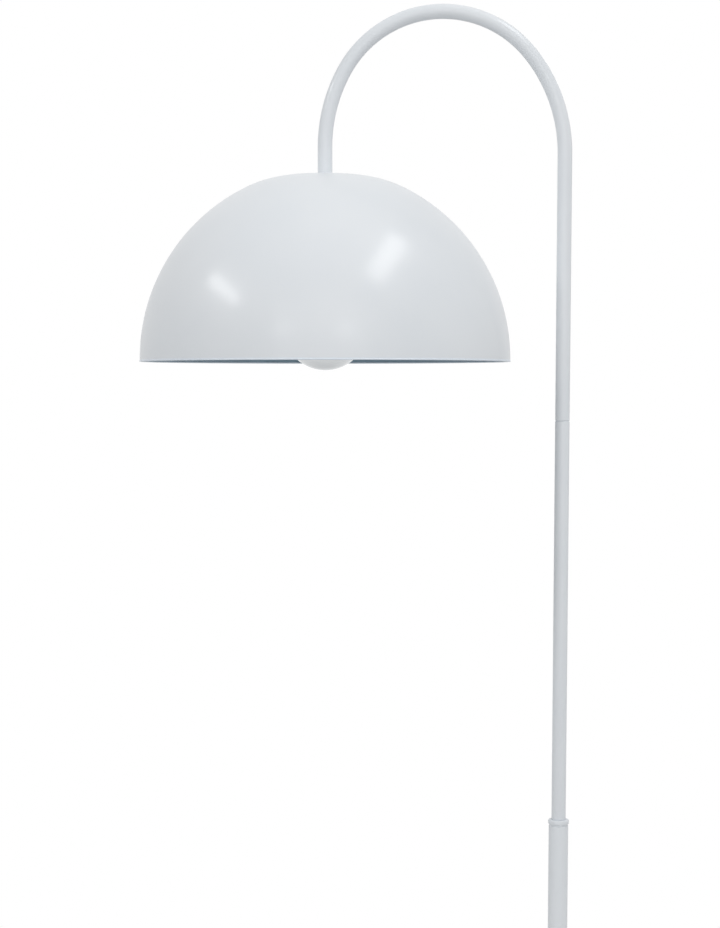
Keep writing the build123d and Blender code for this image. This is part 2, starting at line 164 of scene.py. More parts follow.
def colour(name, description, value):
    """Colour property with linear red, green and blue."""
    return FloatVectorProperty(
        name=name, description=description, default=value, subtype="COLOR", min=0.0, max=1.0
    )


class ShadeSizes(bpy.types.PropertyGroup):
    """Sizes of the half-dome shade"""

    sheet: length("Sheet", "Thickness of the spun sheet", 0.0008)
    hem: length("Hem", "Radius of the rolled hem", 0.0009)
    skirt: length("Skirt", "Upright run above the rim", 0.002)
    crown_flat: length("Crown flat", "Radius of the flat crown", 0.0315)
    crown_blend: length("Crown blend", "Radius between crown and side", 0.1245)
    # Height above the rim of the painted cool highlight on the hem
    lip: length("Lip", "Height of the cool lip above the rim", 0.0027)
    nipple_hole: length("Nipple hole", "Radius of the hole in the crown", 0.0054)


class TubeSizes(bpy.types.PropertyGroup):
    """Sizes of the pole and the arch"""

    upper_wall: length("Upper wall", "Wall of the upper tubes", 0.001)
    lower_wall: length("Lower wall", "Wall of the lower tube", 0.0012)
    edge: length("Broken edge", "Rounding of the tubes' ends", 0.0009)
    crown_radius: length("Crown radius", "Bend over the top of the arch", 0.1226)
    flank_radius: length("Flank radius", "Bend at both sides of the arch", 0.1692)
    crown_shift: length("Crown shift", "Lean of the arch's crown to the shade", 0.0025)
    collar_top: length("Collar top", "Rounding over the step collar", 0.0016)
    collar_foot: length("Collar foot", "Rounding under the step collar", 0.0007)
    collar_groove: length("Collar groove", "Height of the groove under the collar", 0.0017)
    collar_neck: length("Collar neck", "Radius at the bottom of the groove", 0.0102)
    stud_radius: length("Stud", "Outside radius of the studs' thread", 0.005)
    stud_bore: length("Stud bore", "Radius of the studs' bore", 0.00325)
    stud_pitch: length("Stud pitch", "Pitch of the studs' thread", 0.001)


class BaseSizes(bpy.types.PropertyGroup):
    """Sizes of the weighted base"""

    sheet: length("Sheet", "Thickness of the cover", 0.0012)
    edge: length("Edge", "Rounding of the cover's edge", 0.008)
    stud_hole: length("Stud hole", "Radius of the hole for the stud", 0.0054)
    inlet_height: length("Inlet height", "Height of the cord inlet", 0.0095)
    inlet_bore: length("Inlet bore", "Radius of the cord's way in", 0.0036)
    inlet_neck: length("Inlet neck", "Radius of the bush in the cover", 0.005)
    inlet_flange: length("Inlet flange", "Thickness of the bush's flange", 0.0022)
    bush_crease: length("Bush crease", "Rounding of the bush's faces at the cover", 0.0002)
    bush_end: length("Bush end", "Rounding of the bore's inner end", 0.0003)
    bush_edge: length("Bush edge", "Rounding of the inner flange", 0.0004)
    bush_mouth: length("Bush mouth", "Rounding of the bore's mouth", 0.0006)
    bush_face: length("Bush face", "Rounding of the outer flange", 0.0008)


class HolderSizes(bpy.types.PropertyGroup):
    """Sizes of the lampholder"""

    wall: length("Wall", "Wall of the moulded halves", 0.002)
    waist: length("Waist", "Depth of the sleeve's waist", 0.0012)
    lip: length("Lip", "Height of the lip at the mouth", 0.004)
    ledge: length("Ledge", "Step under the switch block", 0.001)
    cap_straight: length("Cap straight", "Upright run of the cap", 0.006)
    cap_shoulder: length("Cap shoulder", "Height of the cap's shoulder", 0.02)
    cap_rounding: length("Cap rounding", "Rounding of the shoulder", 0.006)
    neck_radius: length("Neck", "Radius of the cap's neck", 0.008)
    neck_depth: length("Neck depth", "Length of the neck's thread", 0.012)
    thread_bore: length("Thread bore", "Radius of the neck's thread", 0.0051)
    shaft_hole: length("Shaft hole", "Radius of the switch shaft's hole", 0.0028)
    edge: length("Edge", "Rounding where the halves part", 0.0003)
    fine_edge: length("Fine edge", "Rounding inside the mouth and on the pipe", 0.0004)
    crease: length("Crease", "Rounding beside the sleeve's waist", 0.0005)
    neck_edge: length("Neck edge", "Rounding at the top of the neck", 0.0006)
    waist_edge: length("Waist edge", "Rounding in the sleeve's waist", 0.0008)
    lip_edge: length("Lip edge", "Rounding of the lip at the mouth", 0.0009)
    fillet: length("Fillet", "Hollow between shoulder and neck", 0.002)
    shell_wall: length("Shell wall", "Sheet of the screw shell", 0.0005)
    shell_hole: length("Shell hole", "Radius of the hole for the tongue", 0.0064)


class BulbSizes(bpy.types.PropertyGroup):
    """Sizes of the globe bulb"""

    wall: length("Glass", "Thickness of the glass", 0.001)
    neck_radius: length("Neck", "Radius of the glass neck", 0.015)
    neck_blend: length("Neck blend", "Hollow between globe and neck", 0.022)
    collar_radius: length("Collar", "Radius of the cemented collar", 0.0122)
    cap_wall: length("Cap wall", "Sheet of the screw cap", 0.0005)
    cap_cone: length("Cap cone", "Height of the cap's cone", 0.002)
    cap_top: length("Cap top", "Radius at the top of the cone", 0.0085)
    thread_pitch: length("Thread pitch", "Pitch of the rolled thread", 0.003629)
    thread_depth: length("Thread depth", "Depth of the rolled thread", 0.00085)
    insulator_land: length("Insulator land", "Flat ring round the contact", 0.0008)
    insulator_slope: length("Insulator slope", "Width of the land's bevel", 0.0004)
    insulator_drop: length("Insulator drop", "Height of the land's bevel", 0.0003)
    stem_post: length("Stem post", "Radius of the stem's post", 0.003)
    stem_clearance: length("Stem clearance", "From the collar to the stem's flare", 0.0018)
    stem_taper: length("Stem taper", "Length of the stem's flare", 0.018)
    filament_circle: length("Filament circle", "Radius of the ring of filaments", 0.01)
    filament_radius: length("Filament", "Radius of one filament", 0.0011)
    filament_tab: length("Filament tab", "Bare tab at each end", 0.002)
    filaments: IntProperty(name="Filaments", description="Number of filaments", default=4, min=1)


class FinishColours(bpy.types.PropertyGroup):
    """Colours of the lamp's materials"""

    paint: colour("Paint", "White satin paint", (0.80, 0.83, 0.86))
    paint_shadow: colour("Paint mottle", "Thin places of the paint", (0.77, 0.805, 0.84))
    # Cool tint on the hem: a painted highlight for the lit edge line along the shade's rim
    lip: colour("Lip", "Paint on the hem of the shade", (0.765, 0.83, 0.90))
    # Dark blue-grey inside the shade: partly its paint's colour, partly painted shade inside the
    # dome
    lining: colour("Lining", "Paint inside the shade", (0.285, 0.405, 0.485))
    moulding: colour("Moulding", "White lampholder plastic", (0.80, 0.80, 0.77))
    knob: colour("Knob", "Black knob plastic", (0.018, 0.018, 0.019))
    foam: colour("Foam", "Foam under the base", (0.035, 0.035, 0.037))
    rubber: colour("Rubber", "Rubber of the inlet bush", (0.66, 0.67, 0.67))
    ballast: colour("Ballast", "Cast ballast", (0.09, 0.088, 0.085))
    zinc: colour("Zinc", "Zinc-plated steel", (0.60, 0.61, 0.62))
    brass: colour("Brass", "Contact brass", (0.70, 0.50, 0.20))
    tarnish: colour("Tarnish", "Dull places of the brass", (0.42, 0.27, 0.10))
    nickel: colour("Nickel", "Nickel of the bulb's cap", (0.70, 0.68, 0.64))
    ceramic: colour("Ceramic", "Insulating block", (0.76, 0.73, 0.66))
    sheath: colour("Sheath", "Sheath of the lead", (0.72, 0.72, 0.70))
    opal: colour("Opal", "White glass of the globe", (0.90, 0.91, 0.915))
    # Darker tint at the globe's tip: painted shade on the underside of the bulb
    opal_tip_shade: colour("Opal tip", "Thin coat at the globe's tip", (0.53, 0.55, 0.565))
    # Glow of the unlit globe: painted light that brightens the bulb
    opal_painted_glow: colour("Opal glow", "Light that the white glass passes on", (0.93, 0.98, 1.0))
    glass: colour("Glass", "Clear glass of the stem", (0.985, 0.995, 1.0))
    filament: colour("Filament", "Coat of the filaments", (0.82, 0.52, 0.10))
    floor: colour("Floor", "Studio floor", (0.76, 0.76, 0.76))


class StageSettings(bpy.types.PropertyGroup):
    """Camera and light of the studio"""

    camera_place: FloatVectorProperty(
        name="Camera place",
        description="Where the photograph was taken from",
        default=(-0.2234, -2.1065, SHADE_LOW.z - CAMERA_DROP),
        subtype="TRANSLATION",
    )
    camera_pitch: FloatProperty(
        name="Camera pitch",
        description="Tilt of the camera below the horizon",
        default=math.radians(5.245),
        subtype="ANGLE",
    )
    lens: FloatProperty(
        name="Lens", description="Focal length", default=73.86, subtype="DISTANCE_CAMERA"
    )
    shift: FloatProperty(name="Shift", description="Upward shift of the lens", default=0.1)
    ambient: FloatProperty(
        name="Ambient", description="Strength of the room's light from above", default=0.554
    )
    ground_share: FloatProperty(
        name="Ground share", description="Light from below, as a share of that above", default=0.6
    )
    floor_radius: length("Floor radius", "Reach of the studio floor", 1.65)
    light_distance: length("Light distance", "From the shade to each softbox", 2.4)


class Signal:
    """A shader socket that takes part in Python expressions."""

    def __init__(self, finish, socket):
        self.finish = finish
        self.socket = socket

    def _math(self, operation, first, second):
        return self.finish.node("ShaderNodeMath", {"operation": operation}, {0: first, 1: second})

    def __add__(self, other):
        return self._math("ADD", self, other)

    def __radd__(self, other):
        return self._math("ADD", other, self)

    def __sub__(self, other):
        return self._math("SUBTRACT", self, other)

    def __rsub__(self, other):
        return self._math("SUBTRACT", other, self)

    def __mul__(self, other):
        return self._math("MULTIPLY", self, other)

    def __rmul__(self, other):
        return self._math("MULTIPLY", other, self)

    def __or__(self, other):
        return self._math("MAXIMUM", self, other)

    def __ror__(self, other):
        return self._math("MAXIMUM", other, self)


class Finish:
    """The node tree of a material or of the world, built node by node."""

    def __init__(self, owner):
        owner.use_nodes = True
        self.owner = owner
        self.tree = owner.node_tree
        self.tree.nodes.clear()

    def node(self, kind, settings=None, sockets=None, output=0):
        """Adds a node, applies its settings, then fills or links its sockets."""
        made = self.tree.nodes.new(kind)
        for setting, value in (settings or {}).items():
            setattr(made, setting, value)
        for socket, value in (sockets or {}).items():
            if isinstance(value, Signal):
                self.tree.links.new(value.socket, made.inputs[socket])
            else:
                made.inputs[socket].default_value = value
        return Signal(self, made.outputs[output]) if made.outputs else None

    def place(self):
        """Object coordinates, in metres."""
        return self.node("ShaderNodeTexCoord", output="Object")

    def height(self):
        """Height above the floor, in metres."""
        return self.node("ShaderNodeSeparateXYZ", None, {0: self.place()}, output="Z")

    def noise(self, scale, detail=2.0, stretch=(1.0, 1.0, 1.0)):
        """Cloudy value from 0 to 1, with about scale patches to the metre."""
        spot = self.node("ShaderNodeMapping", None, {"Vector": self.place(), "Scale": stretch})
        return self.node(
            "ShaderNodeTexNoise", None, {"Vector": spot, "Scale": scale, "Detail": detail}
        )

    def cells(self, scale):
        """Distance to the nearest of about scale cell centres to the metre."""
        return self.node("ShaderNodeTexVoronoi", None, {"Vector": self.place(), "Scale": scale})

    def ramp(self, value, low, high):
        """Value stretched so that low gives 0 and high gives 1."""
        return self.node(
            "ShaderNodeMapRange",
            {"interpolation_type": "SMOOTHSTEP"},
            {"Value": value, "From Min": low, "From Max": high},
        )

    def mix(self, share, first, second):
        """Colour that goes from the first to the second, each a colour or a signal."""
        first, second = [
            tint if isinstance(tint, Signal) else (*tint, 1.0) for tint in (first, second)
        ]
        return self.node(
            "ShaderNodeMix", {"data_type": "RGBA"}, {0: share, 6: first, 7: second}, output=2
        )

    def bump(self, height, distance, strength=1.0):
        """Normal of a surface that rises by distance where the height is 1."""
        return self.node(
            "ShaderNodeBump", None, {"Height": height, "Distance": distance, "Strength": strength}
        )

    def surface(self, sockets):
        """Ends the tree in a Principled shader and gives its material back."""
        shader = self.node("ShaderNodeBsdfPrincipled", None, sockets)
        self.node("ShaderNodeOutputMaterial", None, {"Surface": shader})
        return self.owner


def new_finish(name):
    """Empty node tree of a new material."""
    return Finish(bpy.data.materials.new(name))


def scaled(tint, factor):
    """Colour made lighter or darker by a factor."""
    return [factor * value for value in tint]


def satin_paint(colours, name="satin_white_paint", lip=None):
    """Satin white paint with a faint mottle and orange peel; below the height of a lip it turns
    cool, a painted highlight along the shade's rim.
    """
    tree = new_finish(name)
    mottle = tree.ramp(tree.noise(7.0, 3.0), 0.3, 0.7)
    peel = tree.noise(620.0, 1.0)
    paint = tree.mix(mottle, colours.paint_shadow, colours.paint)
    # Below the lip the paint turns cool: a painted highlight along the shade's rim
    if lip:
        paint = tree.mix(tree.ramp(tree.height(), lip - RIM_HIGHLIGHT_FADE, lip), colours.lip, paint)
    return tree.surface(
        {
            "Base Color": paint,
            "Roughness": 0.32 + 0.05 * mottle,
            "Specular IOR Level": 0.12,
            "Coat Weight": 0.15 + 0.04 * mottle,
            "Coat Roughness": 0.2,
            "Coat IOR": 2.2,
            "Normal": tree.bump(peel, 0.00003, 0.35),
        }
    )


def shade_lining(colours):
    """Matt paint inside the shade, dark blue-grey: partly its own colour, partly painted shade
    inside the dome.
    """
    tree = new_finish("matt_shade_lining")
    mottle = tree.noise(11.0, 3.0)
    grain = tree.noise(900.0, 2.0)
    return tree.surface(
        {
            "Base Color": tree.mix(mottle, scaled(colours.lining, 0.94), colours.lining),
            "Roughness": 0.48 + 0.1 * mottle,
            "Specular IOR Level": 0.35,
            "Normal": tree.bump(grain, 0.00003, 0.4),
        }
    )


def white_moulding(colours):
    """White moulded plastic with a fine spark-eroded grain."""
    tree = new_finish("white_moulding")
    cloud = tree.noise(60.0, 3.0)
    grain = tree.noise(2600.0, 2.0)
    return tree.surface(
        {
            "Base Color": tree.mix(cloud, scaled(colours.moulding, 0.93), colours.moulding),
            "Roughness": 0.30 + 0.10 * grain,
            "Normal": tree.bump(grain, 0.00002, 0.5),
        }
    )


def knob_plastic(colours):
    """Black gloss plastic with faint handling marks."""
    tree = new_finish("black_knob_plastic")
    marks = tree.noise(180.0, 4.0, (1.0, 6.0, 6.0))
    return tree.surface(
        {
            "Base Color": tree.mix(marks, colours.knob, scaled(colours.knob, 2.2)),
            "Roughness": 0.16 + 0.18 * marks,
            "Normal": tree.bump(marks, 0.00001, 0.4),
        }
    )


def pad_foam(colours):
    """Closed-cell foam."""
    tree = new_finish("pad_foam")
    pores = tree.cells(1100.0)
    dust = tree.ramp(tree.noise(40.0, 4.0), 0.45, 0.75)
    return tree.surface(
        {
            "Base Color": tree.mix(dust, colours.foam, scaled(colours.foam, 1.9)),
            "Roughness": 0.82 + 0.12 * dust,
            "Normal": tree.bump(pores, 0.0002, 0.6),
        }
    )


def grommet_rubber(colours):
    """Soft grey-white rubber."""
    tree = new_finish("grommet_rubber")
    bloom = tree.noise(350.0, 4.0)
    return tree.surface(
        {
            "Base Color": tree.mix(bloom, scaled(colours.rubber, 0.86), colours.rubber),
            "Roughness": 0.52 + 0.2 * bloom,
            "Normal": tree.bump(bloom, 0.00004, 0.5),
        }
    )


def cast_ballast(colours):
    """Rough cast iron."""
    tree = new_finish("cast_ballast")
    skin = tree.noise(420.0, 6.0)
    stain = tree.ramp(tree.noise(26.0, 4.0), 0.4, 0.7)
    return tree.surface(
        {
            "Base Color": tree.mix(stain, colours.ballast, scaled(colours.ballast, 1.7)),
            "Metallic": 0.55 - 0.3 * stain,
            "Roughness": 0.62 + 0.25 * skin,
            "Normal": tree.bump(skin, 0.0004, 0.7),
        }
    )


def zinc_steel(colours):
    """Zinc-plated steel with a faint spangle and drawn lines."""
    tree = new_finish("zinc_steel")
    spangle = tree.cells(420.0)
    lines = tree.noise(900.0, 3.0, (1.0, 1.0, 0.12))
    return tree.surface(
        {
            "Base Color": tree.mix(spangle, colours.zinc, scaled(colours.zinc, 0.78)),
            "Metallic": 1.0,
            "Roughness": 0.26 + 0.2 * lines,
            "Normal": tree.bump(lines, 0.00002, 0.4),
        }
    )


def contact_brass(colours):
    """Pressed brass with dull patches."""
    tree = new_finish("contact_brass")
    dull = tree.ramp(tree.noise(150.0, 5.0), 0.42, 0.75)
    drawn = tree.noise(1400.0, 2.0, (1.0, 1.0, 0.2))
    return tree.surface(
        {
            "Base Color": tree.mix(dull, colours.brass, colours.tarnish),
            "Metallic": 1.0,
            "Roughness": 0.22 + 0.28 * dull,
            "Normal": tree.bump(drawn, 0.00002, 0.35),
        }
    )


def nickel_cap(colours):
    """Bright nickel with fine drawing lines."""
    tree = new_finish("nickel_cap")
    lines = tree.noise(1600.0, 3.0, (1.0, 1.0, 0.1))
    haze = tree.noise(120.0, 3.0)
    return tree.surface(
        {
            "Base Color": tree.mix(haze, scaled(colours.nickel, 0.84), colours.nickel),
            "Metallic": 1.0,
            "Roughness": 0.18 + 0.16 * lines,
            "Normal": tree.bump(lines, 0.00001, 0.3),
        }
    )


def block_ceramic(colours):
    """Unglazed ceramic with small specks."""
    tree = new_finish("block_ceramic")
    specks = tree.ramp(tree.cells(700.0), 0.06, 0.16)
    body = tree.noise(300.0, 4.0)
    return tree.surface(
        {
            "Base Color": tree.mix(specks, scaled(colours.ceramic, 0.55), colours.ceramic),
            "Roughness": 0.6 + 0.2 * body,
            "Normal": tree.bump(body, 0.00006, 0.5),
        }
    )


def lead_sheath(colours):
    """Flexible sheath with a slight matt bloom."""
    tree = new_finish("lead_sheath")
    bloom = tree.noise(240.0, 3.0)
    return tree.surface(
        {
            "Base Color": tree.mix(bloom, scaled(colours.sheath, 0.9), colours.sheath),
            "Roughness": 0.42 + 0.2 * bloom,
            "Normal": tree.bump(bloom, 0.00003, 0.4),
        }
    )


def opal_glass(colours):
    """White blown glass with a slow ripple under its gloss, painted shade that darkens its tip,
    and a painted glow over it all.
    """
    tree = new_finish("opal_glass")
    ripple = tree.noise(45.0, 1.0)
    cloud = tree.noise(160.0, 3.0)
    tip = heights_of("bulb_glass")[0]
    # Painted shade on the bulb's underside: the glass darkens towards its tip
    fade = tree.ramp(tree.height(), tip - OPAL_FADE_BELOW, tip + OPAL_FADE_ABOVE)
    coat = fade * (0.92 + 0.08 * cloud)
    return tree.surface(
        {
            "Base Color": tree.mix(coat, colours.opal_tip_shade, colours.opal),
            "Roughness": 0.10 + 0.06 * ripple,
            "Specular IOR Level": 0.15,
            # Painted light: the unlit globe glows faintly
            "Emission Color": (*colours.opal_painted_glow, 1.0),
            "Emission Strength": OPAL_PAINTED_GLOW,
            "Normal": tree.bump(ripple, 0.0002, 0.25),
        }
    )


def clear_glass(colours):
    """Drawn glass with a slow ripple."""
    tree = new_finish("clear_glass")
    ripple = tree.noise(45.0, 1.0)
    return tree.surface(
        {
            "Base Color": tree.mix(ripple, scaled(colours.glass, 0.985), colours.glass),
            "Roughness": 0.012 * ripple,
            "IOR": 1.5,
            "Transmission Weight": 1.0,
            "Normal": tree.bump(ripple, 0.0002, 0.25),
        }
    )


def filament_coat(colours):
    """Grainy coat of the filaments."""
    tree = new_finish("filament_coat")
    grain = tree.noise(2600.0, 4.0)
    return tree.surface(
        {
            "Base Color": tree.mix(grain, scaled(colours.filament, 0.7), colours.filament),
            "Roughness": 0.45 + 0.3 * grain,
            "Normal": tree.bump(grain, 0.00008, 0.6),
        }
    )


# The material of each slot in the record, and those made so far
FINISHES = {
    "white_paint": satin_paint,
    "white_moulding": white_moulding,
    "knob_plastic": knob_plastic,
    "pad_foam": pad_foam,
    "grommet_rubber": grommet_rubber,
    "cast_ballast": cast_ballast,
    "zinc_steel": zinc_steel,
    "contact_brass": contact_brass,
    "nickel_cap": nickel_cap,
    "block_ceramic": block_ceramic,
    "lead_sheath": lead_sheath,
    "opal_glass": opal_glass,
    "clear_glass": clear_glass,
    "filament_coat": filament_coat,
}
made_finishes = {}


def finish_of(node):
    """Material of a node's slot, made the first time that it is asked for."""
    slot = SLOT_OF[node]
    if slot not in made_finishes:
        made_finishes[slot] = FINISHES[slot](bpy.context.scene.lamp_colours)
    return made_finishes[slot]


def arc(centre, radius, start, end, steps):
    """Points on an arc from one angle to another, in degrees."""
    turn = (end - start) / steps
    return [
        (
            centre[0] + radius * math.cos(math.radians(start + turn * step)),
            centre[1] + radius * math.sin(math.radians(start + turn * step)),
        )
        for step in range(steps + 1)
    ]


def rounded(corners):
    """Closed outline through (radius, height, rounding) corners, each rounding drawn as an arc."""
    outline = []
    for index, (radius, height, rounding) in enumerate(corners):
        if not rounding:
            outline.append((radius, height))
            continue
        corner = Vector((radius, height))
        before = (Vector(corners[index - 1][:2]) - corner).normalized()
        after = (Vector(corners[(index + 1) % len(corners)][:2]) - corner).normalized()
        half = before.angle(after) / 2
        centre = corner + (before + after).normalized() * rounding / math.sin(half)
        first = corner + before * rounding / math.tan(half) - centre
        last = corner + after * rounding / math.tan(half) - centre
        start = math.degrees(math.atan2(first.y, first.x))
        end = math.degrees(math.atan2(last.y, last.x))
        sweep = (end - start + 180) % 360 - 180
        outline += arc(centre, rounding, start, start + sweep, ROUND_STEPS)
    return outline


def trace(name, points):
    """Draws a line through points in edit mode, from a plane merged to its centre."""
    bpy.ops.object.select_all(action="DESELECT")
    bpy.ops.mesh.primitive_plane_add(size=SEED_SIZE, location=points[0])
    piece = bpy.context.object
    piece.name = name
    piece.data.name = name
    bpy.ops.object.mode_set(mode="EDIT")
    bpy.ops.mesh.select_all(action="SELECT")
    bpy.ops.mesh.merge(type="CENTER")
    for here, there in zip(points, points[1:]):
        bpy.ops.mesh.extrude_vertices_move(TRANSFORM_OT_translate={"value": there - here})
    return piece


def close_up():
    """Merges doubles, turns the faces outwards and leaves edit mode."""
    bpy.ops.mesh.select_all(action="SELECT")
    bpy.ops.mesh.remove_doubles(threshold=MERGE_DISTANCE)
    bpy.ops.mesh.normals_make_consistent(inside=False)
    bpy.ops.object.mode_set(mode="OBJECT")


def turn(name, outline, foot, steps, along="Z"):
    """Spins an outline of (radius, distance) points about an axis through foot.

    An outline that starts on the axis stays open, and any other is closed first.
    """
    axis = Vector((1, 0, 0)) if along == "X" else Vector((0, 0, 1))
    out = Vector((0, 0, 1)) if along == "X" else Vector((1, 0, 0))
    points = [foot + out * radius + axis * distance for radius, distance in outline]
    if outline[0][0] > MERGE_DISTANCE:
        points.append(points[0])
    piece = trace(name, points)
    bpy.ops.mesh.select_all(action="SELECT")
    bpy.ops.mesh.spin(steps=steps, angle=math.tau, center=foot, axis=axis)
    close_up()
    return piece


def select_only(piece):
    """Makes a piece the one selected object."""
    bpy.ops.object.select_all(action="DESELECT")
    piece.select_set(True)
    bpy.context.view_layer.objects.active = piece


def apply_modifier(piece, kind, settings):
    """Adds a modifier to a piece and applies it."""
    select_only(piece)
    modifier = piece.modifiers.new(kind.lower(), kind)
    for setting, value in settings.items():
        setattr(modifier, setting, value)
    bpy.ops.object.modifier_apply(modifier=modifier.name)


def drill(piece, radius, start, end, height):
    """Cuts a round hole along X through a piece's wall."""
    bpy.ops.object.select_all(action="DESELECT")
    bpy.ops.mesh.primitive_cylinder_add(
        vertices=SMALL_TURN,
        radius=radius,
        depth=end - start,
        location=((start + end) / 2, 0, height),
        rotation=(0, math.pi / 2, 0),
    )
    drill_bit = bpy.context.object
    apply_modifier(piece, "BOOLEAN", {"object": drill_bit, "operation": "DIFFERENCE"})
    bpy.data.objects.remove(drill_bit)


def spaced(low, high, steps):
    """Evenly spaced numbers from low to high."""
    gap = (high - low) / steps
    return [low + gap * step for step in range(steps + 1)]


def press_in(piece, foot, depth_at):
    """Moves each point of a turned piece towards its axis by depth_at(reach, height, angle)."""
    for vertex in piece.data.vertices:
        arm = piece.matrix_world @ vertex.co - foot
        reach = math.hypot(arm.x, arm.y)
        depth = depth_at(reach, arm.z, math.atan2(arm.y, arm.x))
        if depth:
            vertex.co.x -= depth * arm.x / reach
            vertex.co.y -= depth * arm.y / reach


def rolled(height, angle, pitch):
    """Share of its depth that a right-hand rolled thread has at a height and an angle."""
    return 0.5 - 0.5 * math.cos(math.tau * height / pitch - angle)


def settle(piece, node, finish=None):
    """Puts a piece's place in its mesh, smooths it, and lets it stand for its solid."""
    select_only(piece)
    bpy.ops.object.transform_apply(location=True, rotation=True, scale=True)
    bpy.ops.object.shade_smooth_by_angle(angle=SMOOTH_ANGLE)
    piece.data.materials.clear()
    piece.data.materials.append(finish or finish_of(node))
    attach(piece, BODY_OF[node])
    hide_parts(node)


def ring_corners(inner, outer, low, high, rounding):
    """Corners of a ring's section, with its outer edges rounded."""
    return [(inner, low, 0), (outer, low, rounding), (outer, high, rounding), (inner, high, 0)]


def turn_section(name, node, corners, foot):
    """Turns a section with rounded corners and lets it stand for its solid."""
    settle(turn(name, rounded(corners), foot, SMALL_TURN), node)


class LAMP_OT_shade(bpy.types.Operator):
    """Spins the half-dome shade with its rolled hem and paints its inside"""

    bl_idname = "lamp.shade"
    bl_label = "Shade"

    def execute(self, context):
        sizes = context.scene.lamp_shade
        rim, top = heights_of("shade")
        radius = radius_of("shade") - sizes.hem + sizes.sheet / 2
        centre = rim + sizes.skirt
        rise = top - centre - sizes.crown_blend
        reach = radius - sizes.crown_flat
        side = (reach**2 + rise**2 - sizes.crown_blend**2) / (2 * (reach - sizes.crown_blend))
        slope = math.degrees(math.atan2(rise, side - reach))

        def sheet_side(inset):
            """Outline of the sheet from the crown's hole to the skirt, set in by a distance."""
            blend_centre = (sizes.crown_flat, top - sizes.crown_blend)
            bend = arc(blend_centre, sizes.crown_blend - inset, 90, slope, CROWN_STEPS)
            flank = arc((radius - side, centre), side - inset, slope, 0, FLANK_STEPS)
            return [(sizes.nipple_hole, top - inset)] + bend + flank[1:]

        spread = math.degrees(math.acos(sizes.sheet / 2 / sizes.hem))
        hem_centre = (radius - sizes.sheet / 2, rim + sizes.hem)
        hem = arc(hem_centre, sizes.hem, spread, -180 - spread, HEM_STEPS)
        outline = sheet_side(0) + hem + sheet_side(sizes.sheet)[::-1]
        piece = turn("dome_shade", outline, SHADE_AXIS, LARGE_TURN)
        # The shade's paint carries the painted cool highlight along its rim
        paint = satin_paint(context.scene.lamp_colours, "shade_paint", rim + sizes.lip)
        settle(piece, "shade", paint)
        self.line_inside(piece, context, Vector((SHADE_AXIS.x, 0, centre)))
        return {"FINISHED"}

    def line_inside(self, piece, context, middle):
        """Gives the faces that look at the middle of the dome the lining."""
        piece.data.materials.append(shade_lining(context.scene.lamp_colours))
        for face in piece.data.polygons:
            if face.center.z > middle.z and face.normal.dot(middle - face.center) > 0:
                face.material_index = 1


class LAMP_OT_arch(bpy.types.Operator):
    """Bends the arch's tube from a circle at the seam of the pole"""

    bl_idname = "lamp.arch"
    bl_label = "Arch"

    def execute(self, context):
        sizes = context.scene.lamp_tubes
        seam, top = heights_of("arch_tube")
        radius = radius_of("arch_tube")
        span = -SHADE_AXIS.x
        flank, crown = sizes.flank_radius, sizes.crown_radius
        reach, inset = flank - crown, flank - span / 2
        pole_bend = math.acos((inset - sizes.crown_shift) / reach)
        shade_bend = math.acos((inset + sizes.crown_shift) / reach)
        crown_height = top - radius - crown
        spring = crown_height - reach * math.sin(pole_bend)
        shade_spring = crown_height - reach * math.sin(shade_bend)
        bpy.ops.object.select_all(action="DESELECT")
        bpy.ops.mesh.primitive_circle_add(
            vertices=SMALL_TURN, radius=radius - sizes.edge, location=(0, 0, seam)
        )
        piece = context.object
        piece.name = "arch_pipe"
        piece.data.name = "arch_pipe"
        bpy.ops.object.mode_set(mode="EDIT")
        bpy.ops.mesh.select_all(action="SELECT")
        bpy.ops.mesh.extrude_edges_move(TRANSFORM_OT_translate={"value": (0, 0, sizes.edge)})
        swell = radius / (radius - sizes.edge)
        bpy.ops.transform.resize(
            value=(swell, swell, 1), center_override=(0, 0, seam + sizes.edge)
        )
        self.run(spring - seam - sizes.edge)
        self.bend((-flank, spring), pole_bend, POLE_BEND_STEPS)
        crown_centre = (-span / 2 - sizes.crown_shift, crown_height)
        self.bend(crown_centre, math.pi - pole_bend - shade_bend, CROWN_BEND_STEPS)
        self.bend((flank - span, shade_spring), shade_bend, SHADE_BEND_STEPS)
        self.run(heights_of("shade")[1] - shade_spring)
        close_up()
        wall = {"thickness": sizes.upper_wall, "offset": -1.0, "use_even_offset": True}
        apply_modifier(piece, "SOLIDIFY", wall)
        settle(piece, "arch_tube")
        return {"FINISHED"}

    def run(self, rise):
        """Runs the open end of the tube straight up or down."""
        bpy.ops.mesh.extrude_edges_move(TRANSFORM_OT_translate={"value": (0, 0, rise)})

    def bend(self, centre, angle, steps):
        """Bends the open end of the tube over towards the shade."""
        bpy.ops.mesh.spin(
            steps=steps, angle=angle, center=(centre[0], 0, centre[1]), axis=(0, 1, 0)
        )


